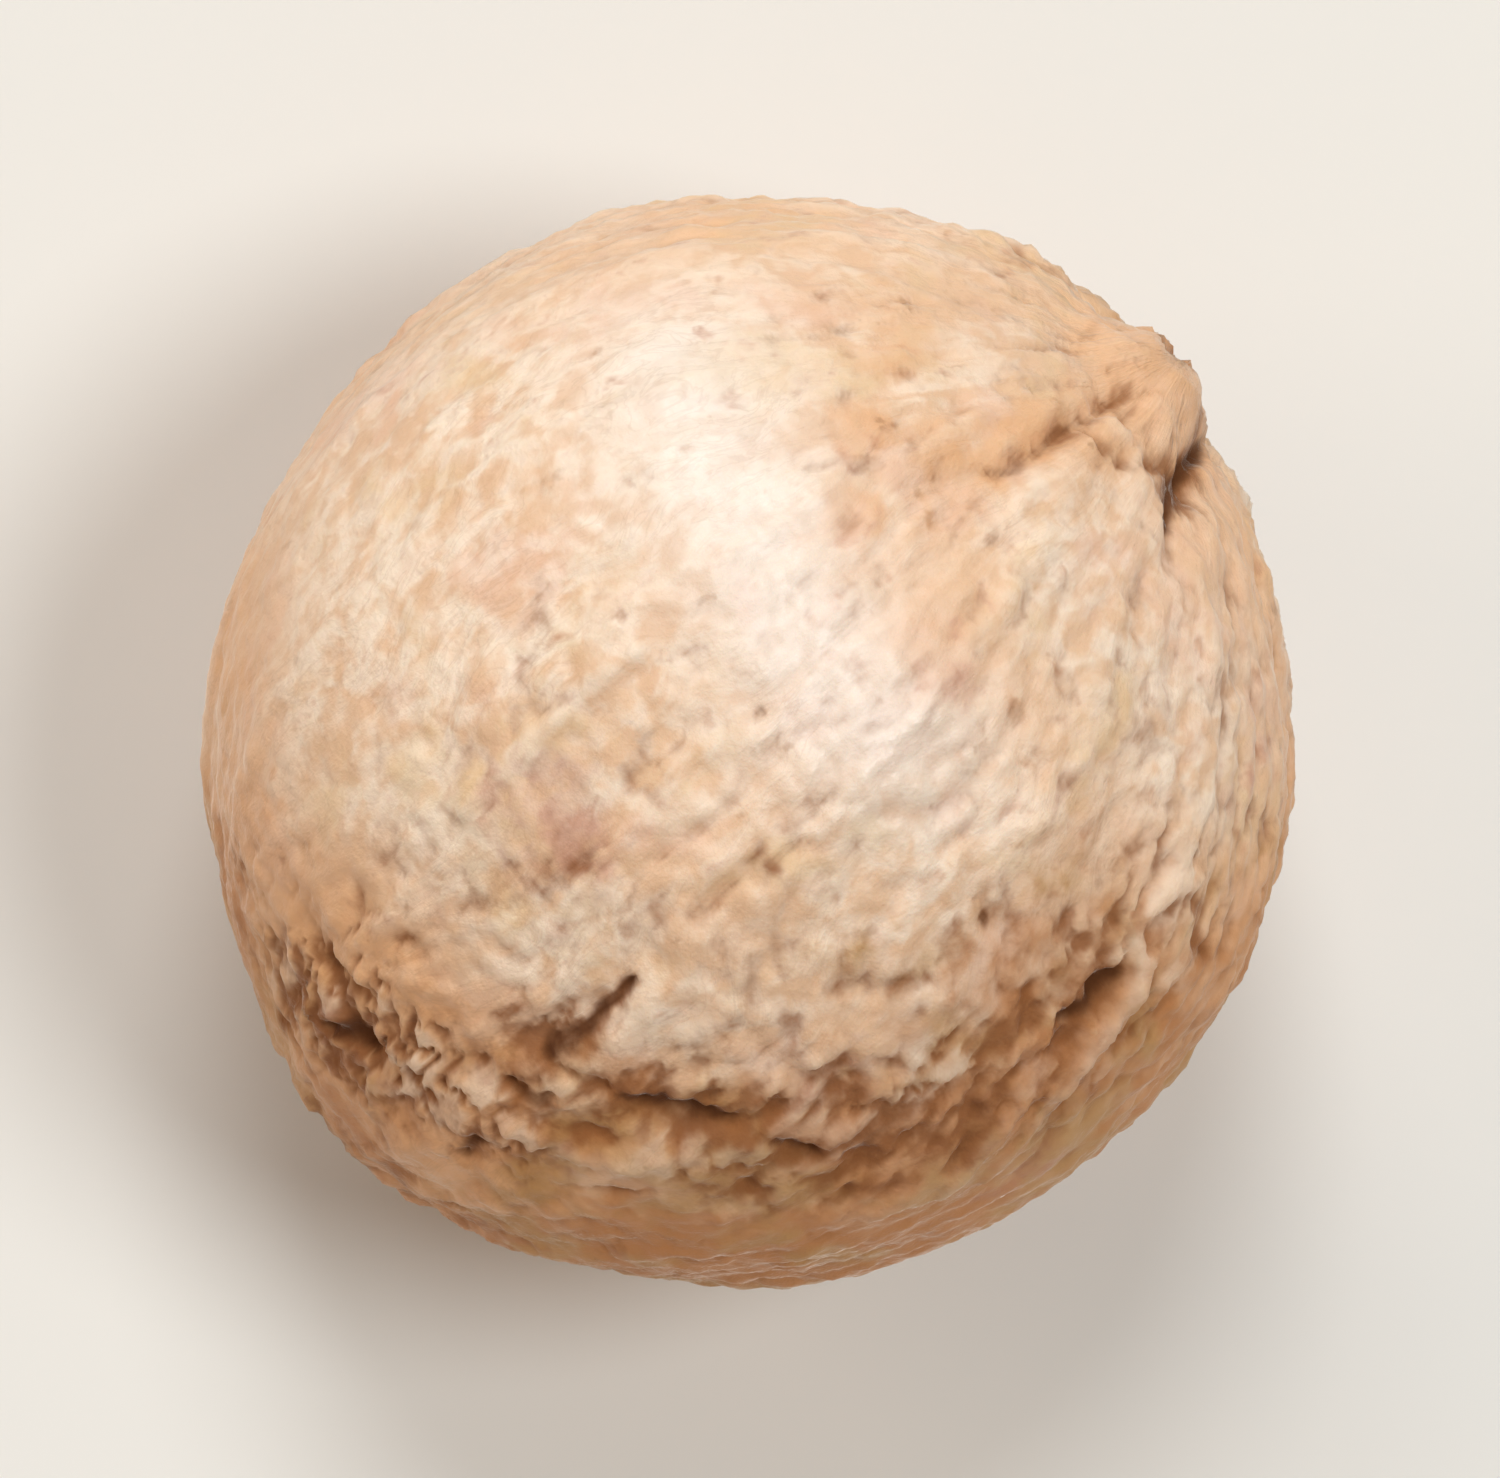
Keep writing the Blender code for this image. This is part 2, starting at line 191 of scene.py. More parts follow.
relief = {
    "seed": 7,
    # noises that sway the fibres and fray the edges of every part, from slow to quick
    "noises": {"drift": (0.5, 1, 2), "warp": (1.3, 10, 2), "speck": (5.5, 9, 3), "jitter": (6.0, 6, 2)},
    # how the fibres run from tip to stem, how they sway, and the polar angle in radians where leaning starts
    "fibres": {"across": 1.0, "along": 0.4, "drift": 0.10, "warp": 0.06, "leanFrom": 1.1},
    # thin raised lines, with each wave as (share, turns) and the ranges of the draws in "place" and "share"
    "veins": {"between": 2, "height": 0.013, "width": 0.055, "wander": 5.0, "mainHeight": 0.017,
              "place": (0.65, 1.35), "share": (0.35, 1.0), "waves": ((0.5, 2.1), (0.3, 5.3), (0.16, 13)),
              "gapWaves": ((1, 3.1), (0.5, 7.7)), "gapEdge": (-0.35, 0.5), "tip": (10, 24),
              "stem": (170, 156), "bandTakes": 0.6},
    # layers of noise: "least" is the share that shows where the skin is smoothest
    "lumps": {"noise": (1.5, 4, 2), "height": 0.018, "least": 0.5},
    "dimples": {"across": 4.4, "along": 2.2, "noise": (1, 15, 2), "height": 0.021, "least": 0.45},
    "grain": {"noise": (8.0, 5, 2), "height": 0.017, "least": 0.35},
    "wrinkles": {"across": 4.4, "along": 1.6, "noise": (1, 2, 2), "depth": 0.018, "line": 0.22,
                 "middle": 0.35, "least": 0.3},
    "web": {"noise": (4.2, 3, 2), "depth": 0.010, "line": 0.16, "middle": 0.3, "least": 0.2, "tip": (8, 20)},
    # two sets of faint straight folds: scales along the three axes, noise, share
    "hatch": {"sets": (((4.6, 4.6, 1.3), (1, 26, 2), 1.0), ((4.6, 1.3, 4.6), (1, 27, 2), 0.7)),
              "warp": 0.3, "height": 0.010, "least": 0.15, "tip": (10, 20)},
    # the crumpled skin of the bands: two leans, the noise that shares them out, ridges, creases and heights
    "crumple": {"across": 5.2, "along": 2.2, "leans": (0.1, -0.45), "warp": 0.7, "speck": 0.10,
                "jitter": 0.06, "lean": (1.1, 25, 2), "leanEdge": (-0.3, 0.3), "firstRun": (1, 17, 3),
                "secondRun": (1, 18, 3), "lumpy": (0.6, 11, 2), "fine": (1.9, 28, 2), "ridge": (0.0, 0.40),
                "opened": (1.5, 13, 2), "openEdge": (-0.4, 0.5), "line": 0.075, "height": 0.009,
                "foldHeight": 0.021, "foldMiddle": 0.5, "fineHeight": 0.024, "creaseDepth": 0.024},
    "pits": {"count": 120, "radius": (0.030, 0.055), "depth": (0.004, 0.014), "jitter": 0.014},
    "radialFolds": {"around": 2.1, "along": 0.6, "noise": (1, 14, 3), "line": 0.14, "nubDepth": 0.026,
                    "scarDepth": 0.014, "nub": ((6, 10), (34, 16)), "scar": ((174, 168), (138, 156))},
    "nubRough": {"height": 0.060, "noise": (3.2, 24, 2), "speck": 0.5, "dip": 0.5, "dipWidth": 2.6},
    "scarRough": 0.028,
    "nubEnd": (13, 7),                      # polar angles where the nub and the scar start and are full
    "scarEnd": (164, 170),
    # sides as (around, polar) and the cosines where they start and are full
    "lowerSide": (60, 100, -0.2, 0.8),
    "lowerDrift": 0.25,
    "rightSide": (12, 58, 0.35, 0.85),
    "top": (0, 75.5),                       # the point that looks straight up
    # the hidden sides: the turn in the middle of the seen side, how far from it they are, how much rougher
    "hidden": {"seen": 12, "edge": (80, 122), "gain": 0.6},
    "lobes": (22, 33, 0.75, 0.35),          # smooth lobes beside the nub: a spot as below
    # the skin is smoothest along this line of (around, polar) points, and its colour is paler there as a
    # painted highlight of the sheen: share, outer, inner distance
    "smoothestAndPaintedSheen": {"path": ((-47, 59), (-27, 61), (-9, 63), (7, 66)), "warp": 0.12,
                  "steps": ((0.6, 0.85, 0.15), (0.4, 0.42, 0.0))},
    # what makes the skin rough, then rough spots: (around, polar, outer radius, inner radius, strength)
    "rough": {"all": 0.28, "lowerSide": 0.5, "hidden": 0.55, "rightSide": 0.35, "drift": 0.3, "band": 0.4,
              "lobes": -0.3, "shine": -0.4},
    "roughSpots": ((-30, 37, 1.0, 0.2, 0.35), (-14, 110, 1.1, 0.3, 0.40)),
    # what makes the low places brown: partly the skin's own brown, partly painted shade in the hollows
    "valley": {"gaps": 0.38, "openGaps": 0.2, "brownGaps": 0.3, "creases": 0.6, "browned": 0.28,
               "fineFolds": 0.30, "wrinkles": 0.30, "brownWrinkles": 0.15, "web": 0.20, "hatching": 0.25,
               "nubFolds": 0.35, "scarFolds": 0.5, "scar": 0.75, "nubHollows": 0.45, "nubSpot": 0.5,
               "pits": 10, "dark": 0.75, "dimples": 0.30},
    "valleyEdges": {"fineFolds": (0.0, -0.5), "hatching": (0.0, -0.5), "nubHollows": (0.05, -0.5),
                    "dimples": (0.0, -0.6), "dimpleSpeck": 0.4, "nubSpot": (52, 12, 0.22, 0.05),
                    "nubSpotSpeck": 0.1, "paleTakes": 0.8},
    # what makes the raised places pale: partly the skin's paler ridges, partly painted highlight
    "crest": {"veins": 28, "lowerTakes": 0.7, "lumps": (-0.5, 0.4), "brownedTakes": 0.5, "dimples": 0.35,
              "dimpleEdge": (0.0, 0.5), "darkTakes": 0.6, "dark": (0.1, 0.6)},
    # towards the outline the browner hollows of the dimples are painted shade
    "mottled": {"share": 0.5, "edge": (0.75, 0.40)},        # towards the outline, where dimples show browner
    # what makes the skin tan, then cooler spots, given like the rough ones; on the lower side and towards the
    # outline the tan is painted shade with warm bounced light
    "warm": {"all": 0.06, "nubSide": 0.12, "stemSide": 0.45, "lobes": -0.3, "drift": 0.50,
             "lowerSide": 0.42, "band": 0.1, "shadedOutline": 0.42},
    "warmEdges": {"nubSide": (40, 12), "stemSide": (85, 150), "shadedOutline": (0.80, 0.05)},
    "warmSpots": ((20, 70, 0.9, 0.3, -0.3), (-17, 92, 0.8, 0.2, -0.4), (42, 46, 0.8, 0.2, -0.2),
                  (72, 38, 1.2, 0.3, -0.5)),
    # ginger skin at the nub and along a line of (around, polar) points
    "ginger": {"nub": (15, 9), "warp": 4, "path": ((30, 11), (4, 14), (-16, 13), (-12, 23), (-10, 32)),
               "pathEdge": (0.26, 0.06), "speck": 0.10, "strength": 0.9},
    # painted shade on the side turned away from the lamps, and toasted skin on the back, the stem end and
    # between folds
    "toastedAndShaded": {"side": (78, 112, 0.36, 0.86), "drift": 0.14, "speck": 0.16, "warp": 0.10,
                "back": 0.7, "backEdge": (110, 165), "backWarp": 0.35, "stem": 0.75, "stemEdge": (128, 156),
                "stemWarp": 10, "stemSpeck": 4, "folds": 0.25, "foldEdge": (0.25, -0.45),
                "foldSpeck": 0.5, "browned": 0.5},
    "spotEdge": {"outer": 1.3, "inner": 0.1, "speck": 0.14, "warp": 0.13},
    # how creases and folds narrow at their ends and vary, and how dark or pale pits and knobs are
    "endShare": 0.05,
    "crack": {"ends": 0.65, "middle": 0.5, "unevenWidth": 0.3, "unevenDepth": 0.4, "darkWidth": 1.25,
              "wander": 0.018, "noises": ((3.0, 21, 2), (3.0, 22, 2), (3.0, 23, 2)), "unevenPits": 0.5,
              "pitDarkness": 25},
    "fold": {"ends": 0.55, "middle": 0.6, "unevenWidth": 0.5, "wander": 0.012, "height": 0.85,
             "unevenHeight": 0.7, "heightRange": (0.3, 1.3), "knobJitter": 0.02, "knobPaleness": 14,
             "knobPalest": 0.7},
    # where the skin between the folds is browner: (around, polar, radius, strength)
    "browned": ((40, 107, 0.55, 1.0), (30, 106, 0.34, 1.0), (52, 96, 0.40, 0.8), (24, 118, 0.35, 0.7),
                (-12, 139, 0.40, 0.8), (4, 146, 0.30, 0.7), (168, 92, 0.60, 0.8), (-108, 118, 0.50, 0.7),
                (110, 126, 0.50, 0.7)),
    "bandEdge": {"outer": 1.15, "inner": 0.05, "warp": 0.35, "speck": 0.14, "stem": (146, 158),
                 "stemWarp": 5, "stemTakes": 0.7},
    # crumpled bands: points as (around, polar), half width, strength
    "bands": (
        (((-20, 144), (-8, 139), (4, 132), (16, 121), (31, 110), (45, 94), (54, 76), (58, 60)), 0.62, 1.0),
        (((150, 26), (164, 52), (178, 80), (170, 104), (186, 132)), 0.66, 0.85),
        (((-96, 150), (-112, 122), (-102, 94), (-118, 70)), 0.55, 0.7),
        (((100, 150), (116, 126), (98, 100)), 0.60, 0.7),
    ),
    # creases: points as (around, polar), width, depth, darkness; the dark is partly the skin's own brown,
    # partly painted shade
    "cracks": (
        (((-8, 8), (-7, 16), (-7, 25), (-6, 31), (-9, 35)), 0.054, 0.038, 0.62),    # beside the nub
        (((-9, 35), (-8, 40), (-6, 46)), 0.050, 0.014, 0.25),
        (((-16, 13), (-22, 19), (-24, 26)), 0.045, 0.022, 0.35),
        (((31, 26), (31, 31), (32, 36)), 0.070, 0.026, 0.30),
        (((-9, 17), (3, 20), (12, 19), (22, 16), (38, 13), (55, 11)), 0.050, 0.030, 0.55),
        (((110, 9), (55, 11), (43, 16), (37, 20)), 0.075, 0.070, 1.0),
        (((15, 20), (17, 28)), 0.050, 0.022, 0.30),
        (((106, 15), (100, 21), (89, 30)), 0.055, 0.030, 0.35),
        (((11, 103), (11, 107), (11, 111), (11, 116)), 0.046, 0.056, 1.0),     # in the crumpled band
        (((11, 110), (11, 117)), 0.070, 0.060, 0.95),
        (((13, 117), (17, 116), (21, 115)), 0.055, 0.044, 0.50),
        (((21, 115), (25, 112), (28, 110), (30, 107)), 0.066, 0.060, 0.95),
        (((12, 124), (16, 123), (16, 121)), 0.055, 0.045, 0.75),
        (((18, 140), (17, 135)), 0.062, 0.050, 0.90),
        (((-19, 135), (-15, 133)), 0.062, 0.036, 0.80),
        (((-13, 143), (-8, 139), (-3, 139)), 0.066, 0.042, 0.95),
        (((-13, 132), (-9, 132)), 0.045, 0.030, 0.50),
        (((-27, 155), (-20, 152)), 0.050, 0.030, 0.60),
        (((21, 123), (24, 120)), 0.060, 0.030, 0.45),
        (((31, 126), (33, 124)), 0.060, 0.030, 0.50),
        (((-2, 94), (-3, 100), (-4, 104)), 0.055, 0.018, 0.55),
        (((-18, 103), (-18, 98), (-18, 93), (-19, 86)), 0.050, 0.022, 0.40),
        (((-8, 112), (-7, 106), (-3, 106)), 0.055, 0.020, 0.28),
        (((31, 98), (33, 96), (33, 92)), 0.050, 0.034, 0.55),
        (((35, 91), (38, 91), (41, 89)), 0.045, 0.028, 0.45),
        (((-2, 101), (-1, 105), (-1, 110)), 0.045, 0.018, 0.25),
        (((9, 93), (10, 87), (11, 81), (14, 78)), 0.048, 0.034, 0.45),
        (((-2, 73), (-2, 67)), 0.050, 0.018, 0.35),
        (((-18, 127), (-17, 118), (-15, 112)), 0.066, 0.028, 0.35),
        (((53, 75), (54, 71), (55, 69)), 0.078, 0.070, 1.0),
        (((50, 65), (51, 63)), 0.060, 0.040, 0.65),
        (((53, 61), (54, 56)), 0.045, 0.030, 0.45),
        (((54, 79), (55, 76)), 0.050, 0.035, 0.60),
        (((45, 76), (48, 79)), 0.050, 0.035, 0.60),
        (((26, 88), (28, 85), (32, 81)), 0.066, 0.035, 0.50),
        (((57, 86), (57, 84)), 0.050, 0.035, 0.60),
        (((56, 97), (52, 89), (52, 84)), 0.060, 0.040, 0.60),
        (((49, 106), (44, 98), (44, 94)), 0.066, 0.042, 0.60),
        (((36, 105), (41, 103)), 0.075, 0.045, 0.75),
        (((35, 99), (35, 94)), 0.055, 0.035, 0.50),
        (((66, 62), (70, 63)), 0.055, 0.030, 0.55),
        (((63, 85), (62, 78), (63, 69)), 0.060, 0.032, 0.40),
        (((67, 41), (70, 43)), 0.055, 0.025, 0.50),
        (((22, 71), (21, 66), (21, 59)), 0.090, 0.026, 0.10),
        (((41, 61), (43, 54), (42, 46)), 0.080, 0.030, 0.12),
        (((164, 44), (170, 58), (168, 66)), 0.050, 0.045, 0.8),              # on the hidden sides
        (((182, 92), (172, 104), (176, 112)), 0.055, 0.050, 0.9),
        (((-110, 118), (-104, 106)), 0.050, 0.045, 0.8),
        (((112, 124), (104, 112)), 0.050, 0.045, 0.8),
    ),
    # raised pale folds, partly painted highlight: points as (around, polar), width, height, paleness
    "folds": (
        (((59, 83), (58, 76), (58, 70), (58, 66)), 0.062, 0.050, 0.9),
        (((53, 67), (54, 62), (54, 58)), 0.055, 0.034, 0.7),
        (((59, 63), (60, 56)), 0.050, 0.030, 0.6),
        (((59, 100), (57, 95), (55, 88), (54, 84)), 0.050, 0.040, 0.6),
        (((63, 96), (61, 91), (60, 87)), 0.045, 0.034, 0.5),
        (((42, 108), (40, 101), (39, 95), (40, 90)), 0.055, 0.032, 0.4),
        (((28, 96), (31, 92)), 0.080, 0.030, 0.5),
        (((18, 128), (22, 125), (27, 124), (29, 120), (31, 115), (32, 109)), 0.066, 0.046, 0.8),
        (((15, 112), (15, 108), (15, 101), (13, 96)), 0.045, 0.022, 0.5),
        (((-15, 128), (-14, 118), (-13, 113)), 0.060, 0.026, 0.5),
        (((-15, 104), (-15, 97), (-15, 91), (-15, 78)), 0.062, 0.036, 0.9),
        (((-10, 32), (-12, 23), (-17, 14)), 0.080, 0.034, 0.2),
        (((-21, 109), (-17, 107)), 0.050, 0.020, 0.6),
        (((-2, 102), (5, 102)), 0.045, 0.016, 0.5),
        (((30, 62), (31, 55), (32, 45)), 0.120, 0.030, 0.5),
        (((12, 62), (13, 54), (14, 46)), 0.110, 0.022, 0.4),
        (((6, 92), (7, 86), (8, 79)), 0.050, 0.020, 0.4),
        (((0, 36), (-1, 28), (-1, 20)), 0.080, 0.030, 0.6),
        (((166, 60), (172, 74), (170, 88)), 0.070, 0.040, 0.6),
        (((-106, 104), (-112, 116)), 0.060, 0.040, 0.6),
        (((104, 104), (110, 116)), 0.060, 0.040, 0.6),
    ),
    # dark pits, darker the deeper they are, partly painted shade: (around, polar, radius, depth)
    "darkPits": ((-15, 11, 0.035, 0.020), (-30, 8, 0.035, 0.020), (-21, 145, 0.055, 0.028),
                 (-10, 121, 0.078, 0.022), (5, 118, 0.060, 0.014), (34, 72, 0.058, 0.034),
                 (2, 104, 0.045, 0.012), (45, 99, 0.050, 0.024), (43, 107, 0.055, 0.024),
                 (41, 117, 0.055, 0.024), (49, 109, 0.055, 0.020),
                 (-2, 72, 0.060, 0.028), (-25, 44, 0.050, 0.018), (-13, 53, 0.050, 0.018),
                 (39, 83, 0.045, 0.020), (40, 112, 0.060, 0.028), (31, 102, 0.055, 0.026),
                 (11, 104, 0.045, 0.040), (11, 115, 0.090, 0.056), (174, 70, 0.055, 0.035),
                 (186, 100, 0.060, 0.035), (-104, 100, 0.055, 0.035), (108, 118, 0.055, 0.030)),
    # stained spots, and at (73, 40) a painted shadow near the outline: (around, polar, radius, strength)
    "stainsAndShadow": ((-4, 99, 0.18, 1.0), (-3, 95, 0.17, 1.0), (-8, 97, 0.44, 0.65), (6, 51, 0.16, 0.90),
               (10, 55, 0.15, 0.80), (-4, 42, 0.22, 0.50), (73, 40, 0.26, 0.60), (-20, 46, 0.20, 0.40),
               (-8, 143, 0.20, 0.6), (-35, 131, 0.20, 0.7), (66, 45, 0.25, 0.4), (34, 94, 0.36, 0.5),
               (54, 88, 0.26, 0.4),
               (70, 95, 0.40, 0.4), (160, 60, 0.42, 0.5), (230, 110, 0.50, 0.5), (-70, 88, 0.30, 0.3),
               (-110, 130, 0.45, 0.5), (110, 72, 0.32, 0.4)),
    # tanner spots: (around, polar, radius, strength)
    "tans": ((-7, 26, 0.34, 0.5), (-14, 38, 0.30, 0.5), (-47, 32, 0.36, 0.45), (-25, 45, 0.18, 0.6),
             (-13, 52, 0.18, 0.6), (-36, 38, 0.18, 0.4), (-52, 42, 0.20, 0.4), (6, 53, 0.22, 0.35),
             (-48, 118, 0.95, 0.3), (200, 60, 0.80, 0.5), (130, 100, 0.90, 0.5)),
    # pale knobs, first on the nub and beside it: (around, polar, radius, height)
    "knobs": ((-53, 7, 0.11, 0.026), (4, 15, 0.10, 0.034), (30, 10, 0.10, 0.034), (-22, 13, 0.08, 0.024),
              (7, 20, 0.07, 0.020), (-22, 24, 0.07, 0.018), (30, 7, 0.10, 0.026),
              (120, 8, 0.11, 0.028), (-125, 9, 0.11, 0.028), (170, 15, 0.08, 0.020), (-80, 16, 0.08, 0.018),
              (20, 119, 0.10, 0.042), (26, 116, 0.08, 0.036), (12, 121, 0.07, 0.032), (28, 121, 0.08, 0.036),
              (29, 100, 0.07, 0.036), (35, 98, 0.06, 0.032), (37, 81, 0.05, 0.024), (23, 73, 0.06, 0.014),
              (17, 77, 0.07, 0.014), (-16, 137, 0.06, 0.020), (49, 82, 0.08, 0.024), (58, 71, 0.05, 0.028),
              (-16, 127, 0.06, 0.020), (-12, 130, 0.06, 0.024), (0, 106, 0.05, 0.014)),
}


def summedWaves(waves, angle, phases):
    return sum(share * np.sin(turns * angle + phase) for (share, turns), phase in zip(waves, phases))


def veinHeight(around, polar):
    # Thin raised lines along and between the ribs, each with its own gaps and wander
    veins, rib = relief["veins"], corn["rib"]
    draw = random.Random(relief["seed"])
    ribs = [line for line, rise in corn["ribs"]]
    lines = []
    for i, line in enumerate(ribs):
        gap = (ribs[(i + 1) % len(ribs)] - line) % 360
        lines.append((line, veins["mainHeight"]))
        for k in range(veins["between"]):
            place = line + gap * (k + draw.uniform(*veins["place"])) / (veins["between"] + 1)
            lines.append((place, veins["height"] * draw.uniform(*veins["share"])))
    p = np.radians(polar)
    twist = rib["twist"] * bell(polar, rib["twistSpread"])
    total = np.zeros(len(polar))
    for line, height in lines:
        phases = [draw.uniform(0, 2 * math.pi) for _ in range(4)]
        strays = veins["wander"] * summedWaves(veins["waves"], p, phases)
        gaps = smoothStep(*veins["gapEdge"], summedWaves(veins["gapWaves"], p, (phases[3], phases[0])))
        turn = np.radians(turnBetween(around, line + twist + strays))
        away = np.abs(turn) * np.sin(p) * bodyRadius / mm
        total = np.maximum(total, height * gaps * bell(away, veins["width"]))
    return total * smoothStep(*veins["tip"], polar) * smoothStep(*veins["stem"], polar)


def pitDepth(skin, jitter):
    pits = relief["pits"]
    draw = random.Random(relief["seed"] + 1)
    total = np.zeros(len(skin))
    for _ in range(pits["count"]):
        around, polar = draw.uniform(-180, 180), math.degrees(math.acos(draw.uniform(-1, 1)))
        radius, depth = draw.uniform(*pits["radius"]), draw.uniform(*pits["depth"])
        away = awayFromSpot(skin, around, polar) + pits["jitter"] * jitter
        total = np.maximum(total, depth * bell(away, radius))
    return total


def tapered(look, width, share, jitter):
    # The uneven width of a crease or a fold, narrower at its ends
    swelling = np.sin(np.pi * np.clip(share, relief["endShare"], 1 - relief["endShare"]))
    return width * (look["ends"] + look["middle"] * swelling) * (1 + look["unevenWidth"] * jitter)


def crackDepth(skin, points, jitter):
    # How deep the creases are, in mm, and how dark, partly brown skin and partly painted shade; pits grow
    # darker the deeper they are
    look = relief["crack"]
    wander = np.stack([noiseAt(points, *settings) for settings in look["noises"]], axis=-1)
    strayed = skin + look["wander"] * wander
    depth, dark = np.zeros(len(skin)), np.zeros(len(skin))
    for path, width, deep, darkness in relief["cracks"]:
        away, share = awayFromPath(strayed, path)
        taper = tapered(look, width, share, jitter)
        depth = np.maximum(depth, deep * bell(away, taper) * (1 + look["unevenDepth"] * jitter))
        dark = np.maximum(dark, darkness * bell(away, taper * look["darkWidth"]))
    for around, polar, radius, deep in relief["darkPits"]:
        away = awayFromSpot(strayed, around, polar) * (1 + look["unevenPits"] * jitter)
        hole = bell(away, radius)
        depth = np.maximum(depth, deep * hole)
        dark = np.maximum(dark, min(look["pitDarkness"] * deep, 1.0) * hole)
    return depth, dark


def foldHeight(skin, warp, jitter):
    # How high the traced folds stand, in mm, and how pale they are, partly as painted highlight
    look = relief["fold"]
    strayed = skin + look["wander"] * warp[:, None]
    beads = np.clip(look["height"] + look["unevenHeight"] * jitter, *look["heightRange"])
    height, pale = np.zeros(len(skin)), np.zeros(len(skin))
    for path, width, rise, paleness in relief["folds"]:
        away, share = awayFromPath(strayed, path)
        fold = bell(away, tapered(look, width, share, jitter)) * beads
        height = np.maximum(height, rise * fold)
        pale = np.maximum(pale, paleness * fold)
    for around, polar, radius, rise in relief["knobs"]:
        knob = bell(awayFromSpot(skin, around, polar) + look["knobJitter"] * jitter, radius)
        height = np.maximum(height, rise * knob)
        pale = np.maximum(pale, min(look["knobPaleness"] * rise, look["knobPalest"]) * knob)
    return height, pale


class Surface:
    # The points of the skin, and the parts that its relief and its colours share
    def __init__(self, skin, around, polar):
        self.skin, self.around, self.polar = skin, around, polar
        self.points = skin * bodyRadius / mm
        self.ring = np.sin(np.radians(polar))            # 0 at the two ends
        self.upper = skin @ heading(*relief["top"])      # 1 on top, 0 at the widest outline
        self.drift, self.warp, self.speck, self.jitter = (
            noiseAt(self.points, *settings) for settings in relief["noises"].values())

    def stretched(self, layer, lean=0):
        # Points whose noise is drawn out from tip to stem, as the skin's fibres are, or leans to one side
        fibres, p = relief["fibres"], np.radians(self.polar)
        turned = np.radians(self.around) + fibres["drift"] * self.drift + fibres["warp"] * self.warp
        turned = turned + lean * np.maximum(p - fibres["leanFrom"], 0)
        x, y, z = np.cos(turned) * layer["across"], np.sin(turned) * layer["across"], p * layer["along"]
        return np.stack([x, y, z], axis=-1) * bodyRadius / mm

    def near(self, around, polar, outer, inner, ragged=0):
        # 1 up to the inner distance in mm from a spot, 0 from the outer one
        return smoothStep(outer, inner, awayFromSpot(self.skin, around, polar) + ragged)

    def facing(self, around, polar, start, full, ragged=0):
        # 1 on the side of the corn that faces one way
        return smoothStep(start, full, self.skin @ heading(around, polar) + ragged)

    def spotted(self, spots):
        # The strongest of several soft spots with ragged edges
        edge, total = relief["spotEdge"], np.zeros(len(self.skin))
        ragged = edge["speck"] * self.speck + edge["warp"] * self.warp
        for around, polar, radius, strength in spots:
            spot = self.near(around, polar, edge["outer"] * radius, edge["inner"] * radius, ragged)
            total = np.maximum(total, strength * spot)
        return total


def markZones(surface):
    # Where the skin is crumpled, low on the side, hidden, smooth or rough, each from 0 to 1
    skin, polar, warp = surface.skin, surface.polar, surface.warp
    edge, hidden, smoothestAndPaintedSheen = relief["bandEdge"], relief["hidden"], relief["smoothestAndPaintedSheen"]
    band = np.zeros(len(skin))
    for path, width, strength in relief["bands"]:
        away = awayFromPath(skin, path)[0] * (1 - edge["warp"] * warp) + edge["speck"] * surface.speck
        band = np.maximum(band, strength * smoothStep(edge["outer"] * width, edge["inner"] * width, away))
    surface.band = band * (1 - edge["stemTakes"] * smoothStep(*edge["stem"], polar + edge["stemWarp"] * warp))
    surface.lowerSide = surface.facing(*relief["lowerSide"], relief["lowerDrift"] * surface.drift)
    surface.hidden = smoothStep(*hidden["edge"], np.abs(turnBetween(surface.around, hidden["seen"])))
    surface.lobes = surface.near(*relief["lobes"])
    # along this line the skin is smoother and has more coat, and its colour carries a painted highlight
    away = awayFromPath(skin, smoothestAndPaintedSheen["path"])[0] + smoothestAndPaintedSheen["warp"] * warp
    surface.shine = sum(share * smoothStep(outer, inner, away) for share, outer, inner in smoothestAndPaintedSheen["steps"])
    rough = weighed(relief["rough"], {
        "all": 1, "lowerSide": surface.lowerSide, "hidden": surface.hidden, "lobes": surface.lobes,
        "rightSide": surface.facing(*relief["rightSide"]), "drift": surface.drift, "band": surface.band,
        "shine": surface.shine})
    for *spot, strength in relief["roughSpots"]:
        rough = rough + strength * surface.near(*spot)
    surface.rough = np.clip(rough, 0, 1)
    surface.nub, surface.scar = (smoothStep(*relief[end], polar) for end in ("nubEnd", "scarEnd"))
    outer = relief["mottled"]["share"] * smoothStep(*relief["mottled"]["edge"], surface.upper)
    surface.mottled = np.maximum(surface.hidden, outer)
    surface.browned = surface.spotted(relief["browned"])


def makeLayers(surface):
    # The noises behind the wrinkles, lumps and grain, and the folds that run out from the two ends
    wrinkles, dimples, web, hatch = (relief[name] for name in ("wrinkles", "dimples", "web", "hatch"))
    points, polar = surface.points, surface.polar
    surface.wrinkles = bell(noiseAt(surface.stretched(wrinkles), *wrinkles["noise"]), wrinkles["line"])
    surface.dimples = noiseAt(surface.stretched(dimples), *dimples["noise"])
    surface.web = bell(noiseAt(points, *web["noise"]), web["line"])
    surface.lumps = noiseAt(points, *relief["lumps"]["noise"])
    surface.grain = noiseAt(points, *relief["grain"]["noise"])
    shaken = hatch["warp"] * surface.warp[:, None]
    surface.hatching = sum(share * noiseAt(points * scales + shaken, *settings)
                           for scales, settings, share in hatch["sets"])
    radial, a, p = relief["radialFolds"], np.radians(surface.around), np.radians(polar)
    spokes = np.stack([np.cos(a), np.sin(a), radial["along"] * p], axis=-1) * radial["around"]
    spokes = bell(noiseAt(spokes, *radial["noise"]), radial["line"])
    surface.nubFolds, surface.scarFolds = (
        spokes * smoothStep(*near, polar) * smoothStep(*far, polar)
        for near, far in (radial["nub"], radial["scar"]))


